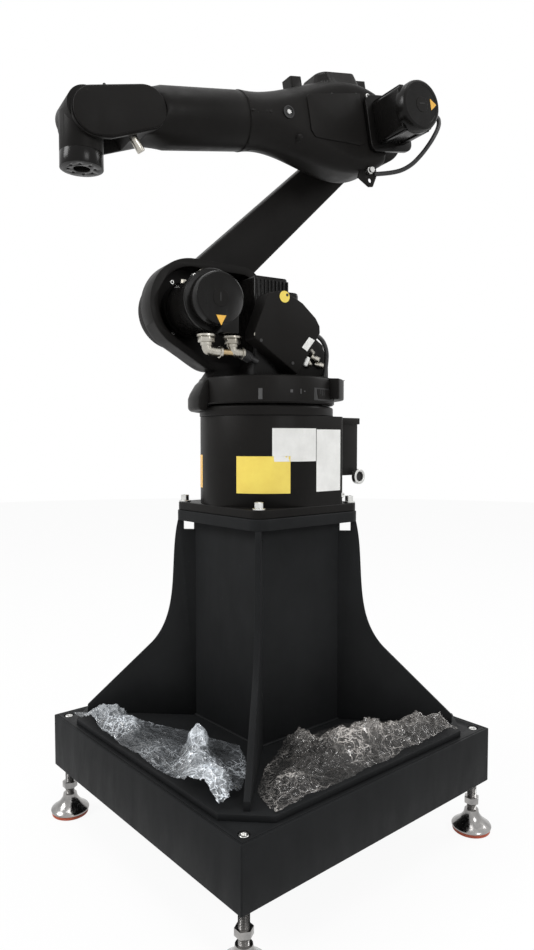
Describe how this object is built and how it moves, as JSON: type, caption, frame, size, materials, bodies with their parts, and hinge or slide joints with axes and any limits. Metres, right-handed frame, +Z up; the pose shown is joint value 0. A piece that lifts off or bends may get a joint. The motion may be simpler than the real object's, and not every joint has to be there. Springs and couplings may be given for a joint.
{
  "type": "industrial robot arm on pedestal",
  "caption": "Six-axis jointed robot arm, black, on a gusseted square column pedestal with a base box and levelling feet.",
  "frame": {"origin": "on the floor, on the turning axis of the robot, at the centre of the square of levelling feet", "axes": "+Z up; -Y is straight ahead for the robot at its zero turn; +X is the side that the motor caps face"},
  "size_m": [0.736, 0.8187, 1.7035],
  "materials": {
    "black_plate": "satin black powder coat",
    "robot_black": "satin black enamel over cast aluminium",
    "motor_black": "semi-gloss black motor bodies",
    "zinc_steel": "bright zinc",
    "connector_metal": "nickel plated connectors",
    "foot_rubber": "red rubber pad",
    "cable_black": "black cable sheath",
    "clear_film": "crumpled stretch film"
  },
  "bodies": {
    "pedestal": {"anchor_bolt_front": "zinc_steel", "anchor_bolt_left": "zinc_steel", "anchor_bolt_rear": "zinc_steel", "anchor_bolt_right": "zinc_steel", "base_box": "black_plate", "base_ring": "robot_black", "box_top_panel": "black_plate", "column": "black_plate", "column_base_plate": "black_plate", "connection_box": "robot_black", "film_ball": "clear_film", "film_left": "clear_film", "film_right": "clear_film", "foot_pad_front": "foot_rubber", "foot_pad_left": "foot_rubber", "foot_pad_rear": "foot_rubber", "foot_pad_right": "foot_rubber", "foot_stud_front": "zinc_steel", "foot_stud_left": "zinc_steel", "foot_stud_rear": "zinc_steel", "foot_stud_right": "zinc_steel", "gusset_front": "black_plate", "gusset_left": "black_plate", "gusset_rear": "black_plate", "gusset_right": "black_plate", "robot_base": "robot_black", "top_plate": "black_plate"},
    "turning_column": {"turning_column": "robot_black", "base_motor": "motor_black", "shoulder_motor": "motor_black", "motor_cover": "robot_black", "shoulder_connectors": "connector_metal", "column_cable": "cable_black"},
    "link_arm": {"link_arm": "robot_black"},
    "arm_housing": {"arm_housing": "robot_black", "elbow_motor": "motor_black", "housing_cover": "robot_black", "elbow_bracket": "robot_black", "elbow_cable": "cable_black"},
    "forearm": {"forearm": "robot_black", "wrist_cover_near": "robot_black", "wrist_cover_far": "robot_black", "gauge_cartridge": "connector_metal"},
    "wrist": {"wrist": "robot_black"},
    "tool_flange": {"tool_flange": "robot_black"}
  },
  "joints": [
    {"name": "base_turn", "type": "hinge", "parent": "pedestal", "child": "turning_column", "pos_m": [0, 0, 0.941], "axis": [0, 0, 1], "range_deg": [-160, 180]},
    {"name": "shoulder", "type": "hinge", "parent": "turning_column", "child": "link_arm", "pos_m": [-0.02865, -0.16249, 1.153], "axis": [0.9848, -0.1736, 0], "range_deg": [-49, 120]},
    {"name": "elbow", "type": "hinge", "parent": "link_arm", "child": "arm_housing", "pos_m": [0.04951, 0.28079, 1.59379], "axis": [-0.9848, 0.1736, 0], "range_deg": [-16, 283]},
    {"name": "forearm_roll", "type": "hinge", "parent": "arm_housing", "child": "forearm", "pos_m": [-0.01255, -0.07116, 1.54598], "axis": [-0.1706, -0.9674, -0.1874], "range_deg": [-185, 185]},
    {"name": "wrist_bend", "type": "hinge", "parent": "forearm", "child": "wrist", "pos_m": [-0.07054, -0.40006, 1.48227], "axis": [-0.9848, 0.1736, 0], "range_deg": [-40, 199]},
    {"name": "flange_turn", "type": "hinge", "parent": "wrist", "child": "tool_flange", "pos_m": [-0.07054, -0.40006, 1.38227], "axis": [0, 0, -1], "range_deg": [-350, 350]}
  ]
}
